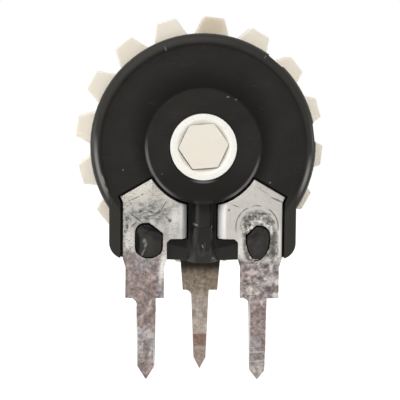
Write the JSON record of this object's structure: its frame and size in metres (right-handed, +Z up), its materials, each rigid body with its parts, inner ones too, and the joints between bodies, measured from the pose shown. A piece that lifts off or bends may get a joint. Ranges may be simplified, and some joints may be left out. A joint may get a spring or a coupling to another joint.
{
  "type": "trimmer potentiometer",
  "caption": "Round upright trimmer potentiometer with a toothed thumbwheel on a hexagonal shaft and flat solder legs; turning the wheel sweeps a wiper along a resistive track.",
  "frame": {"origin": "on the board's surface, where the legs' shoulders rest, midway between the two outer legs", "axes": "+X to the right seen from the terminal side, +Y along the rotor's axis towards the thumbwheel, +Z up away from the board"},
  "size_m": [0.012, 0.0073, 0.0166],
  "materials": {
    "black_plastic": "moulded warm black, semi-gloss with fine scuffs",
    "phenolic_board": "brown phenolic laminate",
    "carbon_film": "matt printed carbon",
    "tinned_sheet": "tin-plated stamped sheet, scratched, dull on the legs",
    "white_plastic": "smooth white moulding",
    "spring_brass": "thin rolled spring sheet",
    "cream_plastic": "cream moulding, slightly translucent"
  },
  "bodies": {
    "body": {"housing": "black_plastic", "rear_cover": "black_plastic", "resistive_element": "phenolic_board", "carbon_track": "carbon_film", "terminal_left": "tinned_sheet", "terminal_right": "tinned_sheet", "collector_terminal": "tinned_sheet"},
    "adjuster": {"rotor": "white_plastic", "wiper": "spring_brass", "thumbwheel": "cream_plastic"}
  },
  "joints": [
    {"name": "rotor_turn", "type": "hinge", "parent": "body", "child": "adjuster", "pos_m": [0, 0, 0.0069], "axis": [0, 1, 0], "range_deg": [-112.7, 122.3]}
  ]
}
